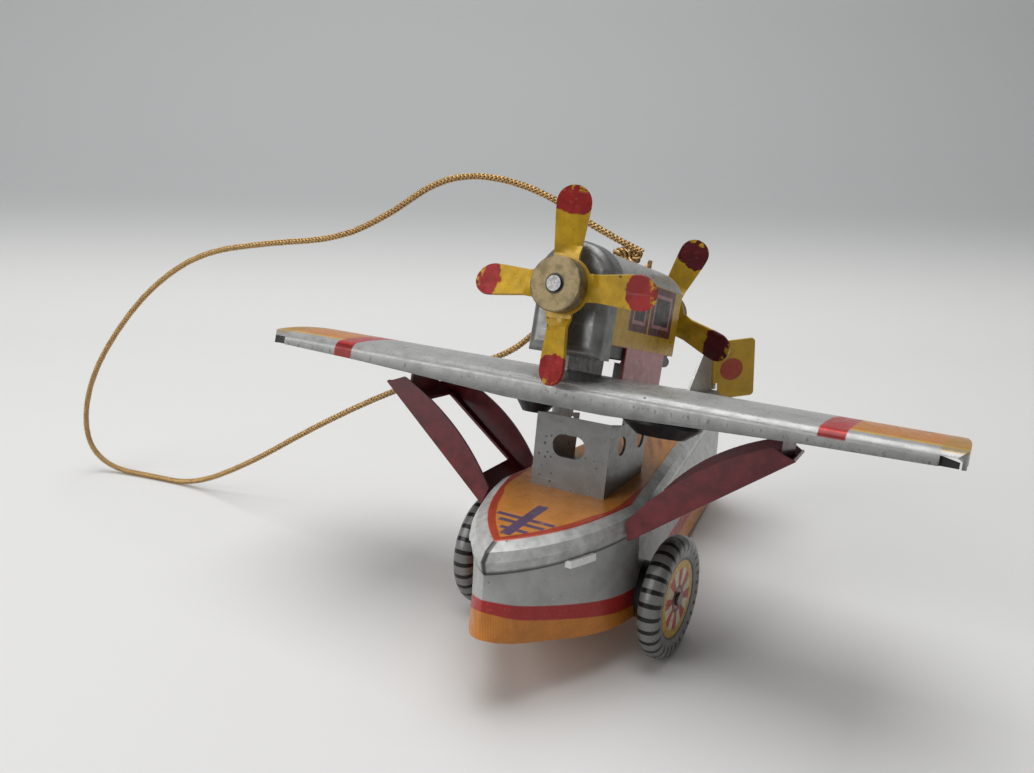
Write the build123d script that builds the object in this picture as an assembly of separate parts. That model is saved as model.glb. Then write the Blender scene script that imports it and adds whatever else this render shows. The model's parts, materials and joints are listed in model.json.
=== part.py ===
from build123d import *
import os
from math import cos, hypot, pi, radians, sin, tan

# Pressed tin flying boat: X to port, Y aft, Z up from the table, millimetres.
# The hull stands level on two wheels and the foot of its stern. The wing, engine
# nacelle and struts are drawn level in their own frame and then tipped nose-up.

# ---- driving dimensions -------------------------------------------------------
SHEET = 0.4              # tin sheet
RUN_FIT = 0.05           # radial clearance of a turning piece
END_PLAY = 0.1           # gap beside a turning piece

WHEEL_RADIUS = 9.6
WHEEL_WIDTH = 3.4
WHEEL_FACE_X = 17.9      # outer face of the port wheel
WHEEL_DISC_RADIUS = 6.1
AXLE_RADIUS = 0.7
AXLE_Y = 20.6
BOSS_RADIUS = 4.5

DECK_ABOVE_AXLE = 15.2   # flat of the deck over the axle
SEAM_BELOW_DECK = 3.8
HULL_BEAM = 24.0         # over the seam, at the shoulder
SHOULDER_Y = 17.4
BOW_Y = -7.2             # stem at the seam
STERN_Y = 81.5           # stern post at the seam
STERN_HALF = 2.2
STERN_RAKE = 9.0         # degrees, head forward
STEM_FOOT_Y = -8.3       # blunt foot of the stem
STEM_FOOT_DROP = 9.5     # and how far it is below the seam
FOREFOOT_Y = -0.6        # the keel curves down through here
FOREFOOT_DROP = 11.8
KNEE_Y = 12.4            # and runs straight from here to the heel
KNEE_DROP = 13.7
RIM_INSET = 1.6          # rounded rim round the deck's flat

NOSE_UP = 16.0           # wing and nacelle over the deck, degrees
DECK_IN_UPPER = 22.0     # level of the deck under the leading edge, in the upper frame
WING_Z = 40.0            # datum of the leading edge in the upper frame
WING_SPAN = 110.0
WING_CHORD = 27.0
WING_TOP = 3.9           # crest over the datum
TIP_CORNER = 11.0        # how far in the swept tip meets the trailing edge

PYLON_HALF = 6.3
PYLON_FOOT_Y = (16.4, 30.5)
PYLON_LEAN = 8.6
PYLON_HEIGHT = 11.3
DISH_RADIUS = {"port": 6.1, "starboard": 3.2}   # black cups under the wing

STRUT_FRONT_X = 34.1     # heads of the two flanges
STRUT_REAR_X = 32.0
STRUT_FRONT_Y = 6.2
STRUT_REAR_Y = 20.5
STRUT_DEPTH = 4.4

SHAFT_Z = 55.9
SHAFT_RADIUS = 0.8
NACELLE_HALF = 5.25
NACELLE_Y = (3.7, 30.9)
NACELLE_FOOT_Z = 48.7
NACELLE_EAVE_Z = 59.2
NACELLE_CREST_Z = 62.4
CAP_FACE_Y = 0.0
CAP_CORNER = 1.6         # rounding of the front cap's edge
REAR_FACE_Y = 34.3
LEG_Y = (11.0, 27.0)
PROP_RADIUS = 14.3
PROP_PITCH = 22.0
PROP_SHEET = 0.5
PROP_GAP = 2.2           # from a cap to its propeller
HUB_RADIUS = 4.0
HUB_LENGTH = 2.4
FRONT_PHASE = -1.5
REAR_PHASE = 21.5

FIN_Y = (63.5, 80.4)
FIN_HEIGHT = 10.8
FIN_SHEET = 0.6
RUDDER_LENGTH = 9.0
RUDDER_DROP = 2.6        # rudder's foot below the hinge
RUDDER_SET = 50.0        # turned to port as it stands
RUDDER_PIN_RADIUS = 0.35
TAILPLANE_HALF = 12.5

CORD_DIAMETER = 1.2
CORD_HOLE_Y = 27.2
CORD_HOLE_RADIUS = 0.9
KNOT_RADIUS = 1.4
KNOT_REACH = 5.0         # outer knot, to starboard of the hole

# ---- worked-out places --------------------------------------------------------
AXLE_Z = WHEEL_RADIUS
DECK_Z = AXLE_Z + DECK_ABOVE_AXLE
SEAM_Z = DECK_Z - SEAM_BELOW_DECK
UPPER = Pos(0, 0, DECK_Z - DECK_IN_UPPER) * Rot(-NOSE_UP, 0, 0)
HALF_SPAN = WING_SPAN / 2
SIDES = {"port": 1, "starboard": -1}

os.makedirs("parts", exist_ok=True)
nodes = {}


def box(x, y, z):
    """A block between the two ends given for each axis."""
    return Pos((x[0] + x[1]) / 2, (y[0] + y[1]) / 2, (z[0] + z[1]) / 2) * Box(
        x[1] - x[0], y[1] - y[0], z[1] - z[0])


def mirrored(shape, side):
    return shape if side > 0 else mirror(shape, Plane.YZ)


def side_prism(points, x0, x1):
    """A (y, z) outline pulled along X."""
    face = make_face(Polyline(*[(x0, y, z) for y, z in points], close=True))
    return extrude(face, x1 - x0, dir=(1, 0, 0))


def front_prism(face, y0, y1):
    """A face drawn in X and Z pulled along Y."""
    return extrude(Pos(0, y0, 0) * face, y1 - y0, dir=(0, 1, 0))


def rod(y0, y1, radius, x=0.0, z=0.0):
    return Pos(x, (y0 + y1) / 2, z) * Rot(90, 0, 0) * Cylinder(radius, y1 - y0)


def cross_rod(x0, x1, radius, y=0.0, z=0.0):
    return Pos((x0 + x1) / 2, y, z) * Rot(0, 90, 0) * Cylinder(radius, x1 - x0)


# ---- hull ---------------------------------------------------------------------
# Points of the bow between stem and shoulder: share of the half beam, share of the run.
SEAM_BOW = [(0.30, 0.14), (0.63, 0.385), (0.84, 0.64)]
FOOT_BOW = [(0.22, 0.065), (0.445, 0.283), (0.685, 0.486), (0.88, 0.675)]
HULL_FLOOR = -1.0        # lowest level at which the side is drawn, under the table


def plan(z, nose, bow, half, stern_half, grow=0.0, blunt=False):
    """Plan of the hull at one height: a bow, a shoulder and a straight run aft."""
    run = SHOULDER_Y - nose
    side = [(0, nose - 1.2 * grow, z)]
    side += [(x * half + grow, nose + y * run - 0.5 * grow, z) for x, y in bow]
    side += [(half + grow, SHOULDER_Y, z)]
    back = [(-x, y, z) for x, y, z in reversed(side)]
    if blunt:
        port = Spline(*side, tangents=[(1, 0, 0), (0, 1, 0)], tangent_scalars=(1, 1))
        starboard = Spline(*back, tangents=[(0, -1, 0), (1, 0, 0)], tangent_scalars=(1, 1))
    else:
        port, starboard = Spline(*side), Spline(*back)
    tail = (stern_half + grow, stern_at(z) + grow, z)
    tail_back = (-tail[0], tail[1], z)
    return make_face([port, Line(side[-1], tail), Line(tail, tail_back), Line(tail_back, back[0]), starboard])


def stern_at(z):
    return STERN_Y + (SEAM_Z - z) * tan(radians(STERN_RAKE))


def seam_plan(z, grow, nose_back=0.0):
    return plan(z, BOW_Y + nose_back, SEAM_BOW, HULL_BEAM / 2, STERN_HALF, grow)


def keel_cut(lift):
    """Everything over the keel: blunt stem, curved forefoot, straight run to the heel."""
    far = 150.0
    stem = (STEM_FOOT_Y, SEAM_Z - STEM_FOOT_DROP + lift)
    forefoot = (FOREFOOT_Y, SEAM_Z - FOREFOOT_DROP + lift)
    knee = (KNEE_Y, SEAM_Z - KNEE_DROP + lift)
    heel = (stern_at(0.0), lift)
    slope = (heel[1] - knee[1]) / (heel[0] - knee[0])
    stretch = (far, knee[1] + slope * (far - knee[0]))
    ahead = (-far, stem[1])
    outline = [ahead, stem, forefoot, knee, stretch, (far, far), (-far, far)]
    at = [(-far, y, z) for y, z in outline]
    face = make_face([Line(at[0], at[1]), ThreePointArc(at[1], at[2], at[3]),
                      Polyline(*at[3:], at[0])])
    return extrude(face, 2 * far, dir=(1, 0, 0))


def hull_block(grow=0.0, lift=0.0, top=0.0):
    """The lower hull as a solid, cut to its keel line."""
    half = HULL_BEAM / 2 + 0.2
    levels = [(HULL_FLOOR, 0.9), (SEAM_Z - STEM_FOOT_DROP, 1.7)]
    sections = [plan(z, STEM_FOOT_Y, FOOT_BOW, half, stern, grow, blunt=True) for z, stern in levels]
    head = seam_plan(SEAM_Z, grow)
    body = loft(sections + [head], ruled=True)
    if top:
        body += extrude(head, top, dir=(0, 0, 1))
    return body & keel_cut(lift)


def deck_block(grow=0.0, lift=0.0):
    """The pressed lid: a rounded rim that closes in to the flat of the deck."""
    rim = [seam_plan(SEAM_Z, 0.2 + grow),
           seam_plan(SEAM_Z + 0.45 * SEAM_BELOW_DECK, 0.45 + grow),
           seam_plan(DECK_Z - 0.9 + lift, -0.1 + grow, 0.4),
           seam_plan(DECK_Z + lift, -RIM_INSET + grow, 1.0)]
    return loft(rim, ruled=True)


hull_fill = hull_block()
deck_fill = deck_block()
axle_bore = cross_rod(-2 * HULL_BEAM, 2 * HULL_BEAM, AXLE_RADIUS, AXLE_Y, AXLE_Z)


def hull_shell():
    return hull_fill - hull_block(-SHEET, SHEET, SHEET) - axle_bore


def deck():
    return deck_fill - deck_block(-SHEET, -SHEET)


TAB_Y = 4.2              # middle of each bent tab that locks the deck
TAB_LENGTH = 4.2
TAB_DROP = 0.95          # below the seam
TAB_RISE = 0.15          # over the seam, against the deck's skirt
TAB_OUT = 0.75           # its outer face from the seam's plan


def hull_tab(side):
    """A tongue of the deck bent out at the seam and down the hull's side."""
    strip = box((0, HULL_BEAM), (TAB_Y - TAB_LENGTH / 2, TAB_Y + TAB_LENGTH / 2),
                (SEAM_Z - TAB_DROP, SEAM_Z + TAB_RISE))
    skin = extrude(seam_plan(SEAM_Z - 2 * TAB_DROP, TAB_OUT), 4 * TAB_DROP, dir=(0, 0, 1))
    tongue = strip & skin
    return mirrored(tongue - deck_fill - hull_fill, side)


nodes["hull_shell"] = hull_shell()
nodes["deck"] = deck()
for name, side in SIDES.items():
    nodes[f"hull_tab_{name}"] = hull_tab(side)

# ---- wheels -------------------------------------------------------------------
WHEEL_MID_X = WHEEL_FACE_X - WHEEL_WIDTH / 2
DISC_RECESS = 0.35       # disc behind the tyre's face
BUSH_WALL = 0.5
BUSH_RADIUS = AXLE_RADIUS + RUN_FIT + BUSH_WALL
AXLE_HEAD = 0.35         # length of the peened head, and its rise over the axle


def wheel_half(outward):
    """Half of a hollow tin wheel, turned about the axle: flat disc and round tyre."""
    reach = WHEEL_WIDTH / 2
    def section(inset):
        face = reach - DISC_RECESS - inset
        crown = reach - inset
        rim = WHEEL_RADIUS - inset
        shoulder = WHEEL_DISC_RADIUS + 1.4
        arc = ThreePointArc((crown, shoulder), (0.80 * crown, shoulder + 0.74 * (rim - shoulder)),
                            (0, rim))
        return make_face([Line((0, 0), (face, 0)), Line((face, 0), (face, WHEEL_DISC_RADIUS)),
                          Line((face, WHEEL_DISC_RADIUS), (crown, shoulder)), arc,
                          Line((0, rim), (0, 0))])
    shell = revolve(section(0), Axis.X) - revolve(section(SHEET), Axis.X)
    shell -= Rot(0, 90, 0) * Cylinder(BUSH_RADIUS, 4 * WHEEL_WIDTH)
    return shell if outward else mirror(shell, Plane.YZ)


def bush():
    length = WHEEL_WIDTH - 2 * DISC_RECESS
    return Rot(0, 90, 0) * (Cylinder(BUSH_RADIUS, length) - Cylinder(AXLE_RADIUS + RUN_FIT, length))


def axle_boss(side):
    """Black washer that fills the gap between the hull's side and the wheel."""
    end = WHEEL_FACE_X - WHEEL_WIDTH + DISC_RECESS - END_PLAY
    washer = cross_rod(0, end, BOSS_RADIUS, AXLE_Y, AXLE_Z) - box(
        (0, HULL_BEAM / 2 - 2.2), (0, 60), (0, 60)) - axle_bore
    return mirrored(washer - hull_fill - deck_fill, side)


def axle():
    end = WHEEL_FACE_X - DISC_RECESS + END_PLAY
    rod_body = cross_rod(-end, end, AXLE_RADIUS, AXLE_Y, AXLE_Z)
    for side in SIDES.values():
        head = Pos(side * (end + AXLE_HEAD / 2), AXLE_Y, AXLE_Z) * Rot(0, 90, 0)
        rod_body += head * Cylinder(AXLE_RADIUS + AXLE_HEAD, AXLE_HEAD)
    return rod_body


nodes["axle"] = axle()
for name, side in SIDES.items():
    seat = Pos(side * WHEEL_MID_X, AXLE_Y, AXLE_Z)
    nodes[f"axle_boss_{name}"] = axle_boss(side)
    nodes[f"wheel_{name}_outer"] = seat * wheel_half(side > 0)
    nodes[f"wheel_{name}_inner"] = seat * wheel_half(side < 0)
    nodes[f"wheel_{name}_bush"] = seat * bush()

# ---- wing ---------------------------------------------------------------------
LEG_TAB_Y = (16.0, 20.0)
LEG_TAB_DROP = 1.6


def wing_section(inset):
    """Fore-and-aft outline under the cambered top, open downwards."""
    top = WING_Z + WING_TOP - inset
    low = WING_Z - 4.0
    nose = inset
    tail = WING_CHORD - inset
    lead = Line((0, nose, low), (0, nose, WING_Z + 1.3))
    turn = ThreePointArc((0, nose, WING_Z + 1.3), (0, nose + 0.35, WING_Z + 2.15 - 0.6 * inset),
                         (0, nose + 1.4, WING_Z + 2.75 - inset))
    crown = Spline((0, nose + 1.4, WING_Z + 2.75 - inset), (0, 0.36 * WING_CHORD, top),
                   (0, tail, top - 1.7))
    rear = Line((0, tail, top - 1.7), (0, tail, low))
    foot = Line((0, tail, low), (0, nose, low))
    return make_face([lead, turn, crown, rear, foot])


def wing_solid(inset):
    half = HALF_SPAN - inset
    body = extrude(Pos(-half, 0, 0) * wing_section(inset), 2 * half, dir=(1, 0, 0))
    front, rear = inset, WING_CHORD - inset
    nose, sweep = 1.6, half - TIP_CORNER + inset
    outline = []
    for side in SIDES.values():
        corner = ThreePointArc((side * (half - nose), front, 0),
                               (side * (half - 0.3 * nose), front + 0.3 * nose, 0),
                               (side * half, front + nose, 0))
        tip = Spline((side * half, front + nose, 0), (side * (half - 1.4), 0.52 * WING_CHORD, 0),
                     (side * sweep, rear, 0), tangents=[(0, 1, 0), (-side, 0, 0)])
        outline += [corner, tip]
    outline += [Line((-half + nose, front, 0), (half - nose, front, 0)),
                Line((-sweep, rear, 0), (sweep, rear, 0))]
    plan_block = extrude(make_face(outline), 30, dir=(0, 0, 1))
    return body & (Pos(0, 0, WING_Z - 15) * plan_block)


wing_fill = wing_solid(0)
wing_core = wing_solid(SHEET)
wing_cover = box((-HALF_SPAN, HALF_SPAN), (0, WING_CHORD), (WING_Z - 3.9, WING_Z + 10)) - wing_core


def wing():
    """One pressing: deep leading flange, shallow hem round the tips and trailing edge."""
    skin = wing_fill - wing_core
    far = HALF_SPAN + 5
    edge = [(0, -1.25), (0.15, -1.25), (0.40, -0.6), (0.66, 0.0), (0.945, 0.4)]
    low = [(far, -8), (far, 0.4), (0.945 * HALF_SPAN, 0.4)]
    low += [(x * HALF_SPAN, z) for x, z in reversed(edge[:-1])]
    low += [(-x * HALF_SPAN, z) for x, z in edge[1:]]
    low += [(-far, 0.4), (-far, -8)]
    trim = make_face(Polyline(*[(x, 0, WING_Z + z) for x, z in low], close=True))
    skin -= front_prism(trim, -1, 1.5)
    skin -= box((-far, far), (1.5, WING_CHORD + 1), (WING_Z - 8, WING_Z + 0.9))
    for side in SIDES.values():
        notch = box((0.945 * HALF_SPAN, HALF_SPAN - SHEET - 0.1), (-1, 1.5), (WING_Z - 8, WING_Z + 1.7))
        slot = box((NACELLE_HALF - SHEET / 2 - 0.05, NACELLE_HALF + SHEET / 2 + 0.05),
                   (LEG_TAB_Y[0] - 0.05, LEG_TAB_Y[1] + 0.05), (WING_Z, WING_Z + 9))
        skin -= mirrored(notch, side)
        skin -= mirrored(slot, side)
    return skin


wing_flat = wing()
nodes["wing"] = UPPER * wing_flat

# ---- pylon --------------------------------------------------------------------
def to_upper(y, z):
    """A (y, z) place in the hull's frame as seen in the upper frame."""
    up = z - (DECK_Z - DECK_IN_UPPER)
    turn = radians(NOSE_UP)
    return y * cos(turn) - up * sin(turn), y * sin(turn) + up * cos(turn)


def pylon():
    """Bent sheet: a pierced front plate, two side plates with tongues to the wing, two feet."""
    back = PYLON_HEIGHT * tan(radians(PYLON_LEAN))
    front, rear = PYLON_FOOT_Y
    head = DECK_Z + PYLON_HEIGHT
    fall = (rear + 1.5 - front - back) * tan(radians(NOSE_UP))
    outline = [(front, DECK_Z), (rear, DECK_Z), (rear + 1.5, head - fall), (front + back, head)]
    open_back = [(front + SHEET, DECK_Z - 1), (rear + 9, DECK_Z - 1), (rear + 9, head + 5),
                 (front + back + SHEET + 0.6, head + 5)]
    walls = side_prism(outline, -PYLON_HALF, PYLON_HALF)
    walls -= side_prism(open_back, -PYLON_HALF + SHEET, PYLON_HALF - SHEET)
    slot = SlotOverall(5.6, 3.5)
    mid_z = DECK_Z + 0.6 * PYLON_HEIGHT
    walls -= front_prism(Pos(-0.4, 0, mid_z) * Rot(90, 0, 0) * slot, front - 2, front + back + 2)
    side_holes = [(front + 5.8, 0.60), (front + 12.8, 0.53)]
    for y, share in side_holes:
        walls -= cross_rod(-PYLON_HALF - 1, PYLON_HALF + 1, 1.5, y, DECK_Z + share * PYLON_HEIGHT)
    tongue = UPPER * box((PYLON_HALF - SHEET, PYLON_HALF), (13.0, 20.0), (30, WING_Z + 8))
    tongue -= UPPER * wing_cover
    tongue -= box((0, 20), (0, 60), (0, DECK_Z + 1.5))
    tongue &= box((0, 20), (0, 60), (0, 60))
    foot = box((PYLON_HALF - 2.6, PYLON_HALF - SHEET), (front + 2, rear - 1), (DECK_Z, DECK_Z + SHEET))
    for y, share in side_holes:
        tongue -= cross_rod(-PYLON_HALF - 1, PYLON_HALF + 1, 1.5, y, DECK_Z + share * PYLON_HEIGHT)
    for side in SIDES.values():
        walls += mirrored(tongue, side)
        walls += mirrored(foot, side)
    return walls


def wing_dish(side, radius):
    """Black cup beside the pylon, hollow side up under the wing."""
    low, high = WING_Z - 3.6, WING_Z - 1.8
    profile = [(0, low), (0.6 * radius, low), (radius, high), (radius, high + SHEET),
               (0.57 * radius, low + SHEET), (0, low + SHEET)]
    face = make_face(Polyline(*[(r, 0, z) for r, z in profile], close=True))
    dish = Pos(PYLON_HALF + radius - 0.1, 13.0, 0) * revolve(face, Axis.Z)
    dish -= box((0, PYLON_HALF), (0, 40), (20, 60))
    return mirrored(dish, side)


nodes["pylon"] = pylon()
for name, side in SIDES.items():
    nodes[f"wing_dish_{name}"] = UPPER * wing_dish(side, DISH_RADIUS[name])

# ---- struts -------------------------------------------------------------------
def strut(side):
    """Pressed tray from the deck's rim to the wing: two crescent flanges and an open web."""
    foot_x = HULL_BEAM / 2 + 0.6

    def foot_z(y):
        turn = radians(NOSE_UP)
        aft = (y + (SEAM_Z + 0.4 - (DECK_Z - DECK_IN_UPPER)) * sin(turn)) / cos(turn)
        return to_upper(aft, SEAM_Z + 0.4)[1]

    def crescent(y, head_x, head_z):
        low = (foot_x, foot_z(y))
        run = (head_x - low[0], head_z - low[1])
        length = hypot(*run)
        up = (-run[1] / length, run[0] / length)

        def at(share, rise):
            height = rise * STRUT_DEPTH
            return (low[0] + share * run[0] + height * up[0], y, low[1] + share * run[1] + height * up[1])
        crest = Spline(at(0.03, 0.6), at(0.34, 1.0), at(0.68, 0.98), at(0.93, 0.7))
        face = make_face([Line(at(0, 0), at(0.03, 0.6)), crest,
                          Line(at(0.93, 0.7), at(1, 0)), Line(at(1, 0), at(0, 0))])
        lip = SHEET / STRUT_DEPTH
        strip = make_face(Polyline(at(0, 0), at(1, 0), at(1, lip), at(0, lip), close=True))
        return face, strip

    front, front_strip = crescent(STRUT_FRONT_Y, STRUT_FRONT_X, WING_Z - 2.9)
    rear, rear_strip = crescent(STRUT_REAR_Y, STRUT_REAR_X, WING_Z - 2.2)
    tray = loft([front_strip, rear_strip], ruled=True)
    tray -= box((foot_x + 3.2, STRUT_REAR_X - 2.4), (STRUT_FRONT_Y + 1.6, STRUT_REAR_Y - 1.6),
                (0, WING_Z + 5))
    tray += extrude(front, SHEET, dir=(0, 1, 0))
    tray += extrude(rear, SHEET, dir=(0, -1, 0))
    tab_x = STRUT_REAR_X - 0.6
    tray += box((tab_x - SHEET, tab_x), (9, 17), (WING_Z - 3.6, WING_Z + 8)) - wing_cover
    return mirrored(UPPER * (tray - wing_flat) - deck_fill - hull_fill, side)


for name, side in SIDES.items():
    nodes[f"strut_{name}"] = strut(side)

# ---- nacelle ------------------------------------------------------------------
def arch(half, foot, eave, crest):
    """Upright section with a round top."""
    return make_face([Line((-half, 0, foot), (half, 0, foot)), Line((half, 0, foot), (half, 0, eave)),
                      ThreePointArc((half, 0, eave), (0, 0, crest), (-half, 0, eave)),
                      Line((-half, 0, eave), (-half, 0, foot))])


OUT = NACELLE_HALF + SHEET / 2
INN = NACELLE_HALF - SHEET / 2
CAP_DROP = 2.4           # foot of the front cap under the side panels
CAP_FOOT_Z = NACELLE_FOOT_Z - CAP_DROP
cord_hole = Pos(0, CORD_HOLE_Y, NACELLE_CREST_Z) * Cylinder(CORD_HOLE_RADIUS, 6)


def nacelle_body():
    """Side panels and roof in one bend, with legs that tab through the wing."""
    shell = front_prism(arch(OUT, NACELLE_FOOT_Z, NACELLE_EAVE_Z, NACELLE_CREST_Z + SHEET / 2), *NACELLE_Y)
    shell -= front_prism(arch(INN, NACELLE_FOOT_Z - 1, NACELLE_EAVE_Z, NACELLE_CREST_Z - SHEET / 2),
                         NACELLE_Y[0] - 1, NACELLE_Y[1] + 1)
    for side in SIDES.values():
        leg = box((INN, OUT), LEG_Y, (WING_Z + 2, NACELLE_FOOT_Z + 0.1)) - wing_fill
        tab = box((INN, OUT), LEG_TAB_Y, (WING_Z + WING_TOP - SHEET - LEG_TAB_DROP, NACELLE_FOOT_Z))
        lip = box((INN - 1.2, OUT), (LEG_Y[0], LEG_Y[0] + SHEET),
                  (WING_Z + 2, CAP_FOOT_Z)) - wing_fill
        shell += mirrored(leg + tab + lip, side)
    return shell - cord_hole


def front_cap():
    """Deep pressed cup over the nose of the nacelle."""
    cup = front_prism(arch(OUT + SHEET, CAP_FOOT_Z, NACELLE_EAVE_Z, NACELLE_CREST_Z + 1.5 * SHEET),
                      CAP_FACE_Y, NACELLE_Y[0] + 0.6)
    cup = fillet(cup.edges().filter_by(Plane.XZ).group_by(Axis.Y)[0], CAP_CORNER)
    core = front_prism(arch(OUT, CAP_FOOT_Z + SHEET, NACELLE_EAVE_Z, NACELLE_CREST_Z + SHEET / 2),
                       CAP_FACE_Y + SHEET, NACELLE_Y[0] + 5)
    core = fillet(core.edges().filter_by(Plane.XZ).group_by(Axis.Y)[0], CAP_CORNER - SHEET)
    return cup - core - rod(-9, 9, SHAFT_RADIUS, z=SHAFT_Z)


def rear_cap():
    """Tapered plug in the tail of the nacelle."""
    near = NACELLE_Y[1] - 1.0
    wide = Pos(0, near, 0) * arch(INN, NACELLE_FOOT_Z, NACELLE_EAVE_Z, NACELLE_CREST_Z - SHEET / 2)
    slim = Pos(0, REAR_FACE_Y, 0) * arch(INN - 0.9, NACELLE_FOOT_Z + 1.2, NACELLE_EAVE_Z - 1,
                                         NACELLE_CREST_Z - 1.4)
    wide_in = Pos(0, near - 0.01, 0) * arch(INN - SHEET, NACELLE_FOOT_Z + SHEET, NACELLE_EAVE_Z,
                                            NACELLE_CREST_Z - 1.5 * SHEET)
    slim_in = Pos(0, REAR_FACE_Y - SHEET, 0) * arch(INN - 0.9 - SHEET, NACELLE_FOOT_Z + 1.2 + SHEET,
                                                    NACELLE_EAVE_Z - 1, NACELLE_CREST_Z - 1.4 - SHEET)
    plug = loft([wide, slim], ruled=True) - loft([wide_in, slim_in], ruled=True)
    return plug - rod(20, 50, SHAFT_RADIUS, z=SHAFT_Z)


FRAME_Y = (NACELLE_Y[0] + 1.2, NACELLE_Y[1] - 1.2)


def bearing_frame():
    """Black trough inside the nacelle whose end walls carry the shaft."""
    half = INN
    frame = box((-half, half), FRAME_Y, (CAP_FOOT_Z + SHEET, SHAFT_Z + 2.2))
    frame -= box((-half + SHEET, half - SHEET), (FRAME_Y[0] + SHEET, FRAME_Y[1] - SHEET),
                 (CAP_FOOT_Z + 2 * SHEET, SHAFT_Z + 9))
    frame = fillet(frame.edges().filter_by(Axis.Y).group_by(Axis.Z)[0], 0.35)
    for side in SIDES.values():
        lug = rod(FRAME_Y[1] - 0.2, FRAME_Y[1] + 1.5, 0.9, side * (half - 1.0), CAP_FOOT_Z + 1.3)
        frame += lug
    return frame - rod(0, 50, SHAFT_RADIUS, z=SHAFT_Z)


# The shaft is fixed. Each propeller turns on it between a washer and a peened head.
FRONT_SHEET_Y = CAP_FACE_Y - PROP_GAP - PROP_SHEET / 2
REAR_SHEET_Y = REAR_FACE_Y + PROP_GAP + PROP_SHEET / 2 - 0.4
HEAD_LENGTH = 0.3        # of each peened head, and its rise over the shaft
WASHER_RISE = 0.9        # over the shaft


def shaft():
    front = FRONT_SHEET_Y - PROP_SHEET / 2 - HUB_LENGTH - END_PLAY
    rear = REAR_SHEET_Y + PROP_SHEET / 2 + HUB_LENGTH + END_PLAY
    body = rod(front, rear, SHAFT_RADIUS, z=SHAFT_Z)
    body += rod(front - HEAD_LENGTH, front, SHAFT_RADIUS + HEAD_LENGTH, z=SHAFT_Z)
    body += rod(rear, rear + HEAD_LENGTH, SHAFT_RADIUS + HEAD_LENGTH, z=SHAFT_Z)
    return body


def washer(y0, y1):
    return rod(y0, y1, SHAFT_RADIUS + WASHER_RISE, z=SHAFT_Z) - rod(y0 - 1, y1 + 1, SHAFT_RADIUS, z=SHAFT_Z)


def blade():
    """One blade along +Z in the plane y = 0: flat root, twisted neck, then a pitched paddle."""
    root, waist = HUB_RADIUS + 0.6, HUB_RADIUS + 1.8
    tip = PROP_RADIUS
    half_waist, half_wide = 2.0, 2.5
    wide = 0.83 * tip
    side = Spline((half_waist, 0, waist), (half_wide - 0.15, 0, 0.66 * tip), (half_wide, 0, wide),
                  tangents=[(0.1, 0, 1), (0, 0, 1)])
    crown = ThreePointArc((half_wide, 0, wide), (0, 0, tip), (-half_wide, 0, wide))
    other = Spline((-half_wide, 0, wide), (-half_wide + 0.15, 0, 0.66 * tip), (-half_waist, 0, waist),
                   tangents=[(0, 0, -1), (0.1, 0, -1)])
    paddle = make_face([side, crown, other, Line((-half_waist, 0, waist), (half_waist, 0, waist))])
    paddle = Pos(0, -PROP_SHEET / 2, 0) * extrude(paddle, PROP_SHEET, dir=(0, 1, 0))
    turn = Rot(0, 0, PROP_PITCH)
    flat = Pos(0, 0, root) * Rectangle(2 * half_waist, PROP_SHEET)
    pitched = turn * Pos(0, 0, waist) * Rectangle(2 * half_waist, PROP_SHEET)
    tab = box((-half_waist, half_waist), (-PROP_SHEET / 2, PROP_SHEET / 2), (HUB_RADIUS / 2, root))
    return tab + loft([flat, pitched], ruled=True) + turn * paddle


def propeller(phase):
    disc = Rot(90, 0, 0) * Cylinder(HUB_RADIUS + 0.3, PROP_SHEET)
    one = blade()
    for count in range(4):
        disc += Rot(0, 90 * count + phase, 0) * one
    return disc - Rot(90, 0, 0) * Cylinder(SHAFT_RADIUS + RUN_FIT, 4)


def hub():
    disc = Rot(90, 0, 0) * Cylinder(HUB_RADIUS, HUB_LENGTH)
    disc = fillet(disc.edges(), 0.25)
    return disc - Rot(90, 0, 0) * Cylinder(SHAFT_RADIUS + RUN_FIT, HUB_LENGTH + 1)


nodes["nacelle_body"] = UPPER * nacelle_body()
nodes["nacelle_front_cap"] = UPPER * front_cap()
nodes["nacelle_rear_cap"] = UPPER * rear_cap()
nodes["bearing_frame"] = UPPER * bearing_frame()
nodes["propeller_shaft"] = UPPER * shaft()
nodes["front_washer"] = UPPER * washer(FRONT_SHEET_Y + PROP_SHEET / 2 + END_PLAY, CAP_FACE_Y)
nodes["rear_washer"] = UPPER * washer(REAR_FACE_Y, REAR_SHEET_Y - PROP_SHEET / 2 - END_PLAY)
for name, sheet_y, aft, phase in (("front", FRONT_SHEET_Y, -1, FRONT_PHASE),
                                  ("rear", REAR_SHEET_Y, 1, REAR_PHASE)):
    hub_y = sheet_y + aft * (PROP_SHEET / 2 + HUB_LENGTH / 2)
    nodes[f"{name}_propeller"] = UPPER * Pos(0, sheet_y, SHAFT_Z) * propeller(phase)
    nodes[f"{name}_hub"] = UPPER * Pos(0, hub_y, SHAFT_Z) * hub()

# ---- tail ---------------------------------------------------------------------
TAIL_Z = DECK_Z + SHEET
HINGE_HEIGHT = FIN_HEIGHT
HINGE_BEHIND = 1.0       # hinge aft of the fin's foot
HINGE = Pos(0, FIN_Y[1] + HINGE_BEHIND, TAIL_Z) * Rot(STERN_RAKE, 0, 0)
KNUCKLE_WALL = 0.35
KNUCKLE_RADIUS = RUDDER_PIN_RADIUS + RUN_FIT + KNUCKLE_WALL
LUG = 1.0                # height of each of the fin's ears


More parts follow.
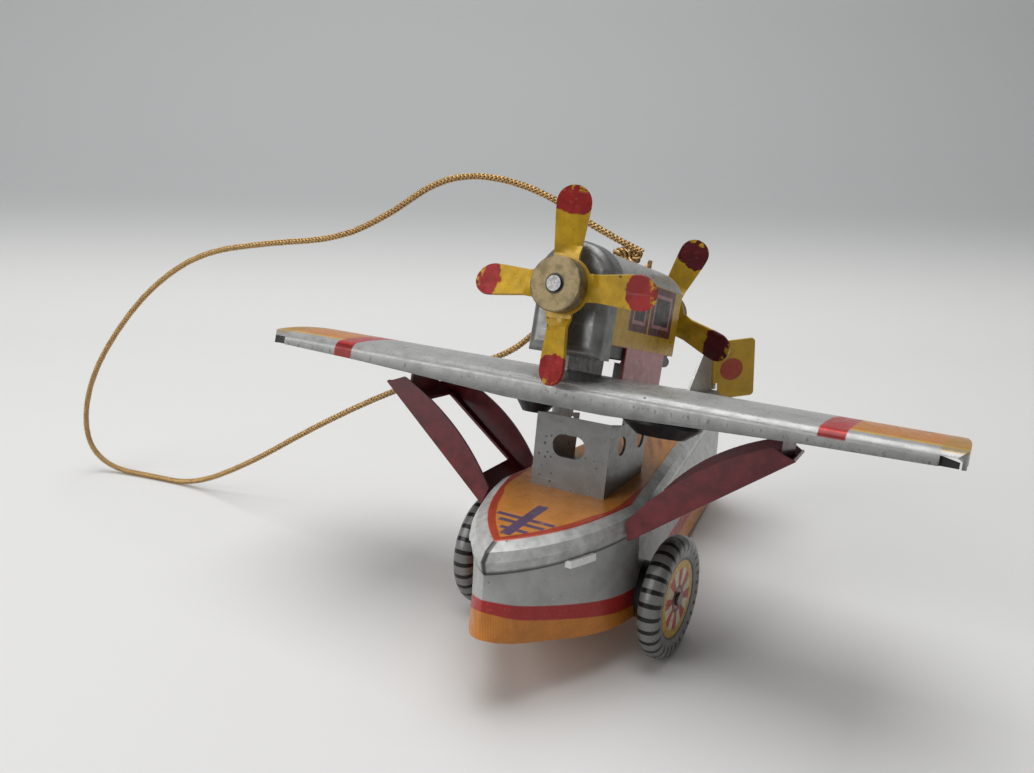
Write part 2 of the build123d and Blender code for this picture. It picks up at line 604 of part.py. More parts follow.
def fin():
    lean = FIN_HEIGHT * tan(radians(STERN_RAKE))
    front, rear = FIN_Y
    top = TAIL_Z + FIN_HEIGHT
    plate = side_prism([(front, TAIL_Z), (rear - 0.2, TAIL_Z), (rear - 0.2 - lean, top),
                        (front + 0.75 * (rear - front), top)], -FIN_SHEET / 2, FIN_SHEET / 2)
    for low in (0.0, HINGE_HEIGHT - LUG):
        ear = HINGE * Pos(0, 0, low + LUG / 2) * Cylinder(KNUCKLE_RADIUS, LUG)
        web = HINGE * box((-FIN_SHEET / 2, FIN_SHEET / 2), (-1.6, 0), (low, low + LUG))
        plate += (ear + web) - box((-5, 5), (0, 200), (0, TAIL_Z))
    return plate - HINGE * Pos(0, 0, HINGE_HEIGHT / 2) * Cylinder(RUDDER_PIN_RADIUS, 3 * HINGE_HEIGHT)


def rudder_pin():
    """Wire pin through the fin's ears and the rudder's knuckle."""
    return HINGE * Pos(0, 0, HINGE_HEIGHT / 2 + 0.1) * Cylinder(RUDDER_PIN_RADIUS, HINGE_HEIGHT - 0.3)


def rudder():
    """Plate and rolled knuckle, square to the hinge and turned to its set angle."""
    low, high = LUG + END_PLAY, HINGE_HEIGHT - LUG - END_PLAY
    roll = Pos(0, 0, (low + high) / 2) * Cylinder(KNUCKLE_RADIUS, high - low)
    plate = box((-SHEET / 2, SHEET / 2), (0.3, RUDDER_LENGTH), (low, high))
    plate += box((-SHEET / 2, SHEET / 2), (1.1, RUDDER_LENGTH), (-RUDDER_DROP, high + 0.5))
    corner = plate.edges().filter_by(Axis.X).group_by(Axis.Y)[-1]
    plate = fillet(corner, 0.8)
    roll -= Pos(0, 0, HINGE_HEIGHT / 2) * Cylinder(RUDDER_PIN_RADIUS + RUN_FIT, 2 * HINGE_HEIGHT)
    plate -= Pos(0, 0, HINGE_HEIGHT / 2) * Cylinder(RUDDER_PIN_RADIUS + RUN_FIT, 2 * HINGE_HEIGHT)
    return HINGE * Rot(0, 0, -RUDDER_SET) * (roll + plate)


def tailplane():
    """Flat plate between the deck and the fin."""
    front, rear = FIN_Y[0] - 0.5, FIN_Y[1]
    outline = [(0, front), (3, front + 0.4), (TAILPLANE_HALF, front + 5), (TAILPLANE_HALF, rear - 4.5),
               (3, rear - 2.5), (1.6, rear)]
    points = outline + [(-x, y) for x, y in reversed(outline[1:])]
    face = make_face(Polyline(*[(x, y, DECK_Z) for x, y in points], close=True))
    return extrude(face, SHEET, dir=(0, 0, 1))


nodes["fin"] = fin()
nodes["rudder_pin"] = rudder_pin()
nodes["rudder"] = rudder()
nodes["tailplane"] = tailplane()

# ---- hanging cord ---------------------------------------------------------------
ROOF_TOP = NACELLE_CREST_Z + SHEET / 2
ROOF_UNDERSIDE = NACELLE_CREST_Z - SHEET / 2


def capsule(start, end, radius):
    axis = Vector(*end) - Vector(*start)
    barrel = Plane(origin=start, z_dir=axis) * Cylinder(
        radius, axis.length, align=(Align.CENTER, Align.CENTER, Align.MIN))
    return barrel + Pos(*start) * Sphere(radius) + Pos(*end) * Sphere(radius)


def outer_knot():
    """Lump that keeps the loop's two ends together on the roof."""
    start = (-1.2, CORD_HOLE_Y - 0.2, ROOF_TOP + KNOT_RADIUS + 0.05)
    end = (start[0] - KNOT_REACH, start[1] - 1.4, start[2] + 0.6)
    return capsule(start, end, KNOT_RADIUS)


def stopper_knot():
    """Lump under the roof and the cord's neck through the hole."""
    low = (0, CORD_HOLE_Y, ROOF_UNDERSIDE - KNOT_RADIUS - 0.05)
    neck = Pos(0, CORD_HOLE_Y, low[2]) * Cylinder(
        CORD_DIAMETER / 2, KNOT_RADIUS * 2 + SHEET, align=(Align.CENTER, Align.CENTER, Align.MIN))
    return Pos(*low) * Sphere(KNOT_RADIUS) + neck - outer_knot()


nodes["cord_knot"] = UPPER * outer_knot()
nodes["cord_stopper"] = UPPER * stopper_knot()

# ---- the origin goes under the middle of the toy ------------------------------
span_box = Compound(children=[Compound(shape.wrapped) for shape in nodes.values()]).bounding_box()
centre = Pos(-(span_box.min.X + span_box.max.X) / 2, -(span_box.min.Y + span_box.max.Y) / 2, -span_box.min.Z)
nodes = {name: centre * shape for name, shape in nodes.items()}
print("frame shift", [round(value, 3) for value in centre.position])

# Route of the loop in the finished frame, from the outer knot up and over to
# starboard, down to the table and back under the wing to the knot.
CORD_ROUTE = [
    (-1.0, 3.65, 58.1), (-9.5, 2.15, 61.7), (-18.0, 0.55, 67.1), (-29.0, -1.25, 69.7),
    (-38.0, -3.05, 68.2), (-47.5, -4.85, 61.5), (-58.0, -6.75, 56.5), (-73.0, -9.45, 54.7),
    (-88.0, -12.35, 51.9), (-100.5, -14.25, 44.5), (-110.5, -16.25, 34.4), (-118.5, -17.75, 23.4),
    (-122.3, -18.35, 13.3), (-122.6, -17.55, 5.2), (-117.6, -15.75, 0.8), (-108.0, -13.95, 0.6),
    (-96.0, -12.35, 0.6), (-80.5, -10.95, 8.2), (-65.0, -7.85, 18.3), (-50.0, -3.55, 26.9),
    (-40.0, 0.75, 31.1), (-31.0, 2.65, 34.9), (-23.5, 3.35, 38.8), (-14.5, 3.15, 49.1),
    (-5.4, 2.95, 57.3),
]


def corner_radii(route):
    """The largest arc that each corner's two runs allow."""
    radii = []
    for before, corner, after in zip(route, route[1:], route[2:]):
        run_in = Vector(*corner) - Vector(*before)
        run_out = Vector(*after) - Vector(*corner)
        half_turn = radians(run_in.get_angle(run_out)) / 2
        radii.append(0.45 * min(run_in.length, run_out.length) / tan(half_turn))
    return radii


def cord():
    radii = corner_radii(CORD_ROUTE)
    path = FilletPolyline(*CORD_ROUTE, radius=radii)
    section = Plane(origin=path @ 0, z_dir=path % 0) * Circle(CORD_DIAMETER / 2)
    tube = sweep(section, path=path)
    print("cord radii", [round(radius, 1) for radius in radii])
    print("cord length", round(path.length, 1), "volume over section times length",
          round(tube.volume / (pi * (CORD_DIAMETER / 2) ** 2 * path.length), 4))
    return tube


nodes["cord"] = cord()

for name, shape in nodes.items():
    export_step(shape, f"parts/{name}.step")
    print(name, round(shape.volume, 2), len(shape.solids()), shape.is_valid)
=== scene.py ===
import json
from math import cos, pi, radians, sin

import bpy
from mathutils import Matrix, Vector


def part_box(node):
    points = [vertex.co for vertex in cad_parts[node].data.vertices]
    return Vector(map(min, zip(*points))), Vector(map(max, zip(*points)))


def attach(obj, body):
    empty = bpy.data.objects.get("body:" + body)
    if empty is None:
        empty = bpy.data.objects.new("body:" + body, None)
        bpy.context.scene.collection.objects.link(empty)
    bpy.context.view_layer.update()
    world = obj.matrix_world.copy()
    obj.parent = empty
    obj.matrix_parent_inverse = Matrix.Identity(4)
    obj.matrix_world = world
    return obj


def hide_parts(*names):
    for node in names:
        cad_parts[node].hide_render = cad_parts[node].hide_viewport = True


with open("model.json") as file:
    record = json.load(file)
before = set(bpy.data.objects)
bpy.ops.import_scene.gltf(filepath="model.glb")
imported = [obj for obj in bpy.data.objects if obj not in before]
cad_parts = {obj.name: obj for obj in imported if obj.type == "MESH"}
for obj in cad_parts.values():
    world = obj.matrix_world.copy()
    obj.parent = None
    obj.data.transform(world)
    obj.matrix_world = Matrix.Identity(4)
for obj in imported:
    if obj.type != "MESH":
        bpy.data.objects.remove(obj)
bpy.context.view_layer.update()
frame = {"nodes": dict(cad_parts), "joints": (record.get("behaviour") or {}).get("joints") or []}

bl_info = {
    "name": "Tin flying boat",
    "version": (1, 0, 0),
    "blender": (4, 5, 0),
    "location": "View3D > Sidebar > Tin Toy",
    "description": "Finishes, cord and stage of a pressed tin toy flying boat",
    "category": "Object",
}

MM = 0.001

# ---- places taken from the frame ------------------------------------------------
JOINTS = {joint["name"]: joint for joint in frame["joints"]}
SHAFT = Vector(JOINTS["front_propeller_spin"]["pos_m"])
SHAFT_AXIS = Vector(JOINTS["front_propeller_spin"]["axis"])
REAR_PIVOT = Vector(JOINTS["rear_propeller_spin"]["pos_m"])
RUDDER_HINGE = Vector(JOINTS["rudder_swing"]["pos_m"])
AXLE = Vector(JOINTS["wheel_port_spin"]["pos_m"])
DECK_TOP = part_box("tailplane")[0].z
NOSE_UP = SHAFT_AXIS.angle(Vector((0, 1, 0)))

# The upper frame is level with the wing. Its origin is set so that these hold there.
SHAFT_IN_UPPER = Vector((0, -2.45, 55.9))
AXLE_IN_HULL_Y = 20.6    # the hull's own Y of the axle, from the datum behind the bow

STRANDS = 4              # wound each way
KNOT_STEPS = 160         # points round the knot's path

CORD_ROUTE = [           # centre line of the hanging loop, in millimetres
    (-1.0, 3.65, 58.1), (-9.5, 2.15, 61.7), (-18.0, 0.55, 67.1), (-29.0, -1.25, 69.7),
    (-38.0, -3.05, 68.2), (-47.5, -4.85, 61.5), (-58.0, -6.75, 56.5), (-73.0, -9.45, 54.7),
    (-88.0, -12.35, 51.9), (-100.5, -14.25, 44.5), (-110.5, -16.25, 34.4), (-118.5, -17.75, 23.4),
    (-122.3, -18.35, 13.3), (-122.6, -17.55, 5.2), (-117.6, -15.75, 0.8), (-108.0, -13.95, 0.6),
    (-96.0, -12.35, 0.6), (-80.5, -10.95, 8.2), (-65.0, -7.85, 18.3), (-50.0, -3.55, 26.9),
    (-40.0, 0.75, 31.1), (-31.0, 2.65, 34.9), (-23.5, 3.35, 38.8), (-14.5, 3.15, 49.1),
    (-5.4, 2.95, 57.3),
]


# ---- settings -------------------------------------------------------------------
def colour_property(name, description, default):
    return bpy.props.FloatVectorProperty(
        name=name, description=description, subtype="COLOR", size=3, min=0, max=1, default=default)


class TinPaint(bpy.types.PropertyGroup):
    """Printed and enamelled colours of the tin."""
    silver: colour_property("Silver", "Bare-looking grey print on wing and hull", (0.33, 0.33, 0.32))
    orange: colour_property("Orange", "Deck, keel band and wing tips", (0.60, 0.20, 0.022))
    yellow: colour_property("Yellow", "Propellers, housing side and rudder", (0.56, 0.33, 0.014))
    red: colour_property("Red", "Stripe and bands", (0.36, 0.022, 0.020))
    maroon: colour_property("Maroon", "Struts and rear blade tips", (0.085, 0.006, 0.009))
    navy: colour_property("Navy", "Mark on the deck", (0.075, 0.060, 0.16))
    black: colour_property("Black", "Enamelled small parts", (0.012, 0.012, 0.013))
    wear: bpy.props.FloatProperty(
        name="Wear", description="How much of the print is speckled and rubbed",
        subtype="FACTOR", min=0, max=1, default=0.5)


class CordSettings(bpy.types.PropertyGroup):
    """Braided metallic cord of the hanging loop."""
    diameter: bpy.props.FloatProperty(
        name="Diameter", description="Outside diameter of the braid", unit="LENGTH",
        min=0.0005, max=0.003, default=0.0012)
    pitch: bpy.props.FloatProperty(
        name="Pitch", description="Length of one turn of a strand", unit="LENGTH",
        min=0.001, max=0.01, default=0.0030)
    colour: colour_property("Gold", "Metallic thread", (0.62, 0.40, 0.17))


class StageSettings(bpy.types.PropertyGroup):
    """Floor, backdrop, light and camera."""
    focal_length: bpy.props.FloatProperty(
        name="Focal length", description="Camera lens on a 36 mm wide film, in millimetres",
        min=10, max=200, default=34.27)
    key_power: bpy.props.FloatProperty(
        name="Key light", description="Power of the large overhead light", unit="POWER",
        min=0, max=100, default=2.6)


# ---- node helpers ---------------------------------------------------------------
class Weave:
    """Adds nodes to one material, in millimetres, and links them."""

    def __init__(self, name):
        self.material = bpy.data.materials.new(name)
        self.material.use_nodes = True
        self.tree = self.material.node_tree
        self.shader = self.tree.nodes["Principled BSDF"]
        self.coordinates = self.tree.nodes.new("ShaderNodeTexCoord").outputs["Object"]

    def node(self, kind, inputs=(), **settings):
        made = self.tree.nodes.new(kind)
        for key, value in settings.items():
            setattr(made, key, value)
        for key, value in dict(inputs).items():
            self.feed(made.inputs[key], value)
        return made

    def feed(self, socket, value):
        if isinstance(value, bpy.types.NodeSocket):
            self.tree.links.new(value, socket)
        elif hasattr(value, "__len__") and len(value) == 3 and socket.type == "RGBA":
            socket.default_value = (*value, 1)
        else:
            socket.default_value = value

    def place(self, origin=(0, 0, 0), turn=(0, 0, 0), offset=(0, 0, 0)):
        """Millimetres from an origin in metres, turned, then offset."""
        rotation = Matrix.Rotation(turn[0], 3, "X")
        moved = rotation @ (-1000 * Vector(origin)) + Vector(offset)
        mapping = self.node("ShaderNodeMapping", {"Vector": self.coordinates, "Location": moved,
                                                  "Rotation": turn, "Scale": (1000, 1000, 1000)})
        return mapping.outputs["Vector"]

    def upper(self):
        return self.place(SHAFT, (NOSE_UP, 0, 0), SHAFT_IN_UPPER)

    def hull(self):
        return self.place((0, AXLE.y, DECK_TOP), offset=(0, AXLE_IN_HULL_Y, 0))

    def split(self, vector):
        parts = self.node("ShaderNodeSeparateXYZ", {"Vector": vector})
        return parts.outputs["X"], parts.outputs["Y"], parts.outputs["Z"]

    def join(self, x, y, z):
        return self.node("ShaderNodeCombineXYZ", {"X": x, "Y": y, "Z": z}).outputs["Vector"]

    def math(self, operation, a, b=0.0):
        made = self.node("ShaderNodeMath", operation=operation)
        for socket, value in zip(made.inputs, (a, b)):
            self.feed(socket, value)
        return made.outputs[0]

    def ramp(self, value, low, high, start=0.0, end=1.0):
        """Smooth step from start at low to end at high."""
        made = self.node("ShaderNodeMapRange", interpolation_type="SMOOTHSTEP")
        for key, number in (("Value", value), ("From Min", low), ("From Max", high),
                            ("To Min", start), ("To Max", end)):
            self.feed(made.inputs[key], number)
        return made.outputs["Result"]

    def profile(self, value, stations):
        """Height over a row of stations, each (place, height)."""
        low, high = stations[0][0], stations[-1][0]
        top = max(height for place, height in stations)
        made = self.node("ShaderNodeFloatCurve", {"Value": self.line(value, low, high)})
        curve = made.mapping.curves[0]
        points = [((place - low) / (high - low), height / top) for place, height in stations]
        curve.points[0].location, curve.points[1].location = points[0], points[-1]
        for point in points[1:-1]:
            curve.points.new(*point)
        for point in curve.points:
            point.handle_type = "AUTO_CLAMPED"
        made.mapping.update()
        return self.math("MULTIPLY", made.outputs["Value"], top)

    def line(self, value, low, high):
        made = self.node("ShaderNodeMapRange", clamp=True)
        for key, number in (("Value", value), ("From Min", low), ("From Max", high)):
            self.feed(made.inputs[key], number)
        return made.outputs["Result"]

    def between(self, value, low, high, soft=0.08):
        rise = self.ramp(value, low - soft, low + soft)
        fall = self.ramp(value, high - soft, high + soft, 1.0, 0.0)
        return self.math("MULTIPLY", rise, fall)

    def all_of(self, *masks):
        total = masks[0]
        for mask in masks[1:]:
            total = self.math("MULTIPLY", total, mask)
        return total

    def noise(self, vector, scale, detail=3.0, roughness=0.55, stretch=None):
        if stretch:
            vector = self.node("ShaderNodeMapping", {"Vector": vector, "Scale": stretch}).outputs["Vector"]
        made = self.node("ShaderNodeTexNoise", {"Vector": vector, "Scale": scale, "Detail": detail,
                                                "Roughness": roughness})
        return made.outputs["Fac"]

    def waves(self, value, rate):
        return self.math("SINE", self.math("MULTIPLY", value, rate))

    def radius(self, a, b):
        """Distance from an axis, of two distances across it."""
        squares = self.math("ADD", self.math("MULTIPLY", a, a), self.math("MULTIPLY", b, b))
        return self.math("SQRT", squares)

    def cells(self, vector, scale):
        """Distance to the nearest of scattered points."""
        made = self.node("ShaderNodeTexVoronoi", {"Vector": vector, "Scale": scale})
        return made.outputs["Distance"]

    def mix(self, factor, below, above):
        made = self.node("ShaderNodeMix", data_type="RGBA")
        for key, value in ((0, factor), (6, below), (7, above)):
            self.feed(made.inputs[key], value)
        return made.outputs[2]

    def shade(self, colour, factor, darkest):
        """Colour darkened towards a share of itself."""
        dark = self.node("ShaderNodeMix", data_type="RGBA", blend_type="MULTIPLY")
        for key, value in ((0, factor), (6, colour), (7, (darkest,) * 3)):
            self.feed(dark.inputs[key], value)
        return dark.outputs[2]

    def bump(self, height, strength, distance=0.00005):
        made = self.node("ShaderNodeBump", {"Height": height, "Strength": strength, "Distance": distance})
        self.tree.links.new(made.outputs["Normal"], self.shader.inputs["Normal"])

    def finish(self, colour, roughness, metallic=0.0, coat=0.0):
        self.feed(self.shader.inputs["Base Color"], colour)
        self.feed(self.shader.inputs["Roughness"], roughness)
        self.feed(self.shader.inputs["Metallic"], metallic)
        self.shader.inputs["Coat Weight"].default_value = coat
        self.shader.inputs["Coat Roughness"].default_value = 0.18
        self.shader.inputs["Specular IOR Level"].default_value = 0.38
        return self.material


def paint():
    return bpy.context.scene.tin_paint


def toned(colour, share):
    """A colour made lighter or darker by a factor."""
    return [share * value for value in colour]


# ---- print on the tin -----------------------------------------------------------
def speckles(weave, vector, amount):
    """Small dark nicks and dots where the print has gone."""
    wide = weave.noise(vector, 0.16, 2.0)
    dots = weave.cells(vector, 0.95)
    size = weave.ramp(wide, 0.46, 0.75, 0.02, 0.26 * amount)
    dot = weave.math("LESS_THAN", dots, size)
    fine = weave.ramp(weave.noise(vector, 2.6, 4.0, 0.7), 0.66 - 0.02 * amount, 0.72)
    return weave.math("MAXIMUM", weave.math("MULTIPLY", dot, 0.85), weave.math("MULTIPLY", fine, 0.75))


def rubs(weave, vector):
    """Long faint scratches."""
    lines = weave.noise(vector, 1.0, 2.0, 0.5, (0.12, 3.2, 3.2))
    return weave.ramp(lines, 0.60, 0.74)


def tin_surface(weave, vector, colour, gloss, metallic, speckle=1.0):
    """Common finish: speckled, softly mottled, thinly varnished print."""
    mottle = weave.noise(vector, 0.35, 4.0, 0.6)
    colour = weave.shade(colour, weave.ramp(mottle, 0.35, 0.75), 0.80)
    marks = speckles(weave, vector, speckle)
    colour = weave.mix(weave.math("MULTIPLY", marks, paint().wear * 1.6), colour, (0.030, 0.026, 0.024))
    scratch = rubs(weave, vector)
    colour = weave.mix(weave.math("MULTIPLY", scratch, 0.16 * paint().wear), colour, (0.75, 0.74, 0.70))
    roughness = weave.ramp(weave.noise(vector, 0.8, 3.0), 0.3, 0.8, gloss - 0.07, gloss + 0.16)
    weave.bump(weave.math("ADD", weave.math("MULTIPLY", mottle, 0.6),
                          weave.math("MULTIPLY", marks, -0.5)), 0.35)
    return weave.finish(colour, roughness, metallic, 0.08)


def silver_tin(name, tone):
    weave = Weave(name)
    # The tone share paints lighter and darker copies of the grey: a painted highlight on the hull tabs,
    # painted shade on the pylon.
    return tin_surface(weave, weave.upper(), toned(paint().silver, tone), 0.34, 0.6)


# Marks on the wing, in the upper frame.
TOP_EDGE = (42.15, 42.35)    # heights where the front turns into the top
UNDERSIDE = 43.4             # the inside of the pressing is below this
BAND_OUT = (37.5, 41.0)      # red band; the orange panel is outboard of it
PANEL_FRONT = (1.8, 2.1)
PANEL_BACK = (21.0, 21.6)
PANEL_EDGE = (1.5, 2.5)      # yellow line along the panel's front
TIP_OUT = (51.6, 52.2)       # paler end of the panel
HATCH_PITCH = 0.42


def wing_print():
    """Grey wing with a red band and an orange panel towards each tip, with painted shade low on the front
    flange and a painted highlight along its top edge.
    """
    weave = Weave("wing_print")
    vector = weave.upper()
    x, y, z = weave.split(vector)
    out = weave.math("ABSOLUTE", x)
    silver = paint().silver
    facing = weave.split(weave.node("ShaderNodeNewGeometry").outputs["Normal"])[2]
    under = weave.math("LESS_THAN", facing, -0.3)
    top = weave.ramp(z, *TOP_EDGE)
    yellow = paint().yellow
    # Painted shade and highlight: the grey is darkest at the bottom of the front flange and lightest along the
    # top edge.
    colour = weave.mix(weave.ramp(z, 38.9, 42.3), toned(silver, 0.34), toned(silver, 1.2))
    dashes = weave.noise(vector, 1.3, 3.0, 0.6, (1.0, 1.0, 0.4))
    row = weave.all_of(weave.between(z, 40.3, 40.9, 0.2), weave.ramp(dashes, 0.57, 0.60))
    colour = weave.mix(weave.math("MULTIPLY", row, 0.5), colour, (0.03, 0.03, 0.03))
    hatch = weave.waves(x, 2 * pi / HATCH_PITCH)
    orange = weave.mix(weave.ramp(hatch, -0.4, 0.9, 0.0, 0.35), paint().orange,
                       (yellow[0], 0.9 * yellow[1], yellow[2]))
    outboard = weave.math("GREATER_THAN", out, BAND_OUT[1])
    panel = weave.all_of(outboard, weave.ramp(y, *PANEL_FRONT), weave.ramp(y, *PANEL_BACK, 1.0, 0.0), top)
    colour = weave.mix(panel, colour, orange)
    edge = weave.all_of(outboard, weave.between(y, *PANEL_EDGE, 0.2), top)
    colour = weave.mix(weave.math("MULTIPLY", edge, 0.8), colour, toned(yellow, 1.3))
    tip = weave.all_of(weave.ramp(out, *TIP_OUT), top)
    colour = weave.mix(weave.math("MULTIPLY", tip, 0.55), colour, toned(yellow, 0.8))
    band = weave.between(out, *BAND_OUT, 0.12)
    short = weave.math("MAXIMUM", weave.math("LESS_THAN", x, 0.0), weave.ramp(z, 41.2, 41.5))
    # Lit and shaded copies of the red band: painted highlight on the top, painted shade on the front.
    red = weave.mix(top, toned(paint().red, 0.62), toned(paint().red, 1.3))
    colour = weave.mix(weave.all_of(band, short), colour, red)
    inside = weave.all_of(under, weave.math("LESS_THAN", z, UNDERSIDE))
    colour = weave.mix(inside, colour, (0.02, 0.018, 0.018))
    return tin_surface(weave, vector, colour, 0.32, 0.30, 1.1)


# Outlines of the print on the hull, each (distance aft of the datum, height).
DECK_EDGE = [(-4.3, 0.0), (-2.1, 2.0), (3.7, 5.96), (9.7, 8.5), (17.4, 10.4), (79.3, 0.6)]
STRIPE_TOP = [(-8.5, 7.2), (-3.0, 9.3), (5.4, 11.4), (15.2, 12.8), (24.0, 13.2), (82.0, 16.0)]
STRIPE_DEPTH = [(-8.5, 1.75), (-3.0, 2.2), (5.4, 2.4), (15.2, 2.85), (24.0, 3.0), (82.0, 3.0)]
PLANK_PITCH = 0.55
HULL_HATCH_PITCH = 0.5
MARK_HALF_WIDTH = 0.85
MARK_Y = (-2.0, 9.3)
MARK_CROSSES = ((-4.7, 4.7, 3.9), (-3.4, 3.9, 2.2), (-1.9, 2.5, 0.0))    # starboard end, port end, Y
CROSS_HALF_WIDTH = 0.45


def deck_print():
    """Orange planked deck in a red line, silver rim, blue mark forward and brown hatching aft."""
    weave = Weave("deck_print")
    vector = weave.hull()
    x, y, z = weave.split(vector)
    out = weave.math("ABSOLUTE", x)
    flat = weave.ramp(z, -0.16, -0.06)
    inset = weave.math("SUBTRACT", weave.profile(y, DECK_EDGE), out)
    planks = weave.waves(y, 2 * pi / PLANK_PITCH)
    grain = weave.noise(vector, 0.5, 3.0, 0.6, (3.0, 0.4, 1.0))
    line = weave.math("ADD", weave.math("MULTIPLY", planks, 0.5), weave.math("MULTIPLY", grain, 0.8))
    orange = weave.mix(weave.ramp(line, -0.2, 1.0, 0.0, 0.45), paint().orange, (0.80, 0.42, 0.13))
    aft = weave.ramp(y, 26.0, 40.0)
    hatch = weave.waves(weave.math("ADD", x, weave.math("MULTIPLY", y, 0.5)), 3.2)
    brown = weave.mix(weave.ramp(hatch, -0.2, 0.5, 0.0, 0.75), orange, (0.17, 0.075, 0.035))
    patch = weave.all_of(aft, weave.between(x, -5.0, 5.0, 1.2))
    orange = weave.mix(weave.math("MULTIPLY", patch, 0.7), orange, brown)
    mark = weave.all_of(weave.between(x, -MARK_HALF_WIDTH, MARK_HALF_WIDTH, 0.12),
                        weave.between(y, *MARK_Y, 0.2))
    for low, high, place in MARK_CROSSES:
        across = weave.between(y, place - CROSS_HALF_WIDTH, place + CROSS_HALF_WIDTH, 0.12)
        mark = weave.math("MAXIMUM", mark, weave.all_of(weave.between(x, low, high, 0.2), across))
    worn = weave.ramp(weave.noise(vector, 0.9, 2.0), 0.20, 0.44, 0.35, 0.92)
    colour = weave.mix(weave.all_of(mark, worn), orange, paint().navy)
    border = weave.between(inset, -0.6, 1.15, 0.12)
    colour = weave.mix(weave.math("MULTIPLY", border, 0.85), colour, toned(paint().red, 1.15))
    rim = weave.ramp(weave.noise(vector, 0.6, 3.0), 0.3, 0.7)
    silver = weave.mix(rim, toned(paint().silver, 1.25), toned(paint().silver, 1.7))
    seam = weave.ramp(z, -3.75, -3.2, 1.0, 0.0)
    silver = weave.mix(weave.math("MULTIPLY", seam, 0.8), silver, (0.03, 0.03, 0.03))
    stem = weave.all_of(weave.ramp(out, 0.25, 0.5, 1.0, 0.0), weave.ramp(y, -4.6, -4.2, 1.0, 0.0))
    silver = weave.mix(weave.math("MULTIPLY", stem, 0.9), silver, (0.03, 0.025, 0.02))
    colour = weave.mix(flat, silver, colour)
    return tin_surface(weave, vector, colour, 0.34, 0.15, 0.8)


def hull_print():
    """Grey sides, a red stripe that follows the keel and an orange band under it, with painted shade where the
    side turns away behind the bow.
    """
    weave = Weave("hull_print")
    vector = weave.hull()
    x, y, z = weave.split(vector)
    below = weave.math("SUBTRACT", weave.math("MULTIPLY", z, -1.0), weave.profile(y, STRIPE_TOP))
    stripe = weave.profile(y, STRIPE_DEPTH)
    silver = paint().silver
    # Painted shade: the grey darkens between these stations, where the side turns away from the light.
    shoulder_shade = weave.between(y, 9.0, 22.0, 4.0)
    grey = weave.mix(weave.math("MULTIPLY", shoulder_shade, 0.5), toned(silver, 1.28), toned(silver, 0.75))
    colour = weave.mix(weave.ramp(below, -0.12, 0.12), grey, toned(paint().red, 1.1))
    hatch = weave.waves(weave.math("ADD", y, x), 2 * pi / HULL_HATCH_PITCH)
    orange = weave.mix(weave.ramp(hatch, -0.3, 0.9, 0.0, 0.3), toned(paint().orange, 0.95), (0.62, 0.30, 0.08))
    colour = weave.mix(weave.ramp(weave.math("SUBTRACT", below, stripe), -0.1, 0.1), colour, orange)
    seam = weave.ramp(z, -4.15, -3.95)
    colour = weave.mix(weave.math("MULTIPLY", seam, 0.9), colour, (0.02, 0.02, 0.02))
    return tin_surface(weave, vector, colour, 0.34, 0.15, 0.9)


# Marks on the housing, in the upper frame.
ROOF_Z = 59.25
CAP_JOINT = (4.7, 5.0)
ROW_PITCH = 0.5
WINDOWS = ((10.3, 17.8), (18.3, 28.0))       # fore and aft ends of each frame
WINDOW_RINGS = (                             # inset at the ends, foot, head and colour
    (0.0, 51.4, 59.1, (0.11, 0.030, 0.030)),
    (1.2, 52.6, 58.0, (0.42, 0.20, 0.20)),
    (1.75, 53.15, 57.45, (0.018, 0.016, 0.016)),
)
LEG_HEAD = (48.75, 48.9)
LIP_BACK = (11.35, 11.45)
PANEL_INSIDE = 5.2                           # nearer the middle than this is painted shade inside the housing
INTERIOR_SHADE_HEAD = 58.0


def nacelle_print():
    """Grey roof, yellow side panels with two framed windows, pink legs and red lips, and painted shade inside.
    """
    weave = Weave("housing_print")
    vector = weave.upper()
    x, y, z = weave.split(vector)
    silver = paint().silver
    roof = weave.math("GREATER_THAN", z, ROOF_Z)
    colour = weave.mix(roof, paint().yellow, toned(silver, 1.2))
    joint = weave.ramp(y, *CAP_JOINT, 1.0, 0.0)
    colour = weave.mix(joint, colour, (0.012, 0.012, 0.012))
    rows = weave.waves(z, 2 * pi / ROW_PITCH)
    colour = weave.mix(weave.ramp(rows, 0.2, 1.0, 0.0, 0.16), colour, (0.50, 0.40, 0.10))
    for front, back in WINDOWS:
        for inset, foot, head, ring_colour in WINDOW_RINGS:
            ring = weave.all_of(weave.between(y, front + inset, back - inset), weave.between(z, foot, head))
            colour = weave.mix(ring, colour, ring_colour)
    leg = weave.ramp(z, *LEG_HEAD, 1.0, 0.0)
    colour = weave.mix(leg, colour, (0.50, 0.22, 0.23))
    lip = weave.all_of(leg, weave.ramp(y, *LIP_BACK, 1.0, 0.0))
    colour = weave.mix(lip, colour, toned(paint().red, 0.8))
    # Painted shade: surfaces inside the housing are painted near-black.
    inner = weave.math("LESS_THAN", weave.math("ABSOLUTE", x), PANEL_INSIDE)
    interior_shade = weave.all_of(inner, weave.math("LESS_THAN", z, INTERIOR_SHADE_HEAD))
    colour = weave.mix(interior_shade, colour, (0.10, 0.095, 0.09))
    return tin_surface(weave, vector, colour, 0.32, 0.25, 0.9)


def cap_tin():
    """Front and rear caps: darker, rubbed grey tin."""
    weave = Weave("cap_tin")
    vector = weave.upper()
    wide = weave.noise(vector, 0.28, 3.0)
    silver = paint().silver
    colour = weave.mix(weave.ramp(wide, 0.35, 0.65), toned(silver, 0.5), toned(silver, 0.75))
    return tin_surface(weave, vector, colour, 0.34, 0.5, 1.1)


FRONT_TURN, REAR_TURN = radians(-1.5), radians(21.5)     # of a blade from upright
FRONT_TIP, REAR_TIP = 9.9, 9.3       # where the dark tip starts on a blade's centre line
TIP_CURVE = 0.17                     # how fast that edge runs outward to the sides
CHIPPED_RIM = (13.2, 13.7)


